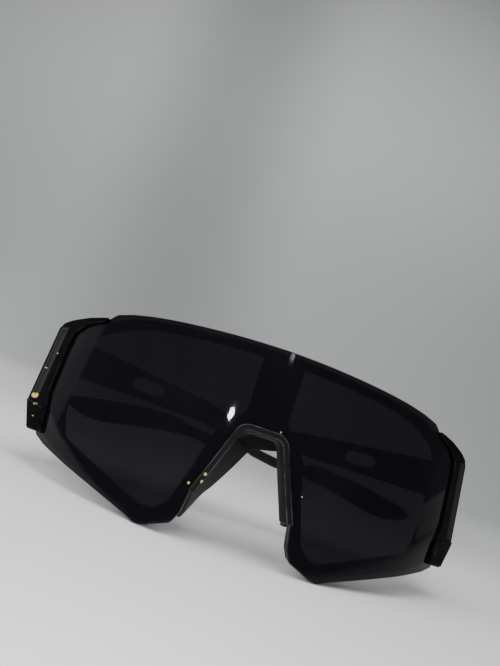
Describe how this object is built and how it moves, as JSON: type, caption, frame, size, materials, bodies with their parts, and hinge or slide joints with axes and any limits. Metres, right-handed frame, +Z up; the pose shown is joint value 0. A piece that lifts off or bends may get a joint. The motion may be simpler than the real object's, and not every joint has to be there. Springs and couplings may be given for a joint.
{
  "type": "sunglasses",
  "caption": "Wraparound shield sunglasses: one dark lens over a gloss black rim, grooved side rails, grey nose piece and folding arms with slots.",
  "frame": {"origin": "middle of the bottom of the bounding box, with the arms folded", "axes": "+X towards the right end of the lens as seen from in front, +Y from the lens back to the folded arms, +Z up; the front leans back 8.2 degrees"},
  "size_m": [0.1482, 0.05, 0.056],
  "materials": {
    "lens_tint": "near-black tinted plastic lens, glossy, slightly see-through",
    "gloss_black": "gloss black moulded plastic",
    "soft_grey": "dark grey satin soft plastic",
    "sleeve_rubber": "matte black rubber",
    "hinge_steel": "plain steel"
  },
  "bodies": {
    "front": {"shield_lens": "lens_tint", "front_rim": "gloss_black", "side_rail_left": "gloss_black", "side_rail_right": "gloss_black", "nose_piece": "soft_grey", "nose_pad_left": "soft_grey", "nose_pad_right": "soft_grey", "hinge_front_leaf_left": "hinge_steel", "hinge_front_leaf_right": "hinge_steel", "hinge_screw_left": "hinge_steel", "hinge_screw_right": "hinge_steel"},
    "arm_left": {"hinge_temple_leaf_left": "hinge_steel", "hinge_rivet_left_1": "hinge_steel", "hinge_rivet_left_2": "hinge_steel", "temple_left": "gloss_black", "temple_sleeve_left": "sleeve_rubber"},
    "arm_right": {"hinge_temple_leaf_right": "hinge_steel", "hinge_rivet_right_1": "hinge_steel", "hinge_rivet_right_2": "hinge_steel", "temple_right": "gloss_black", "temple_sleeve_right": "sleeve_rubber"}
  },
  "joints": [
    {"name": "arm_right_hinge", "type": "hinge", "parent": "front", "child": "arm_right", "pos_m": [0.0684, 0.01505, 0.03555], "axis": [0, -0.1426, -0.9898], "range_deg": [0, 90]},
    {"name": "arm_left_hinge", "type": "hinge", "parent": "front", "child": "arm_left", "pos_m": [-0.0684, 0.01505, 0.03555], "axis": [0, 0.1426, 0.9898], "range_deg": [0, 86]}
  ]
}
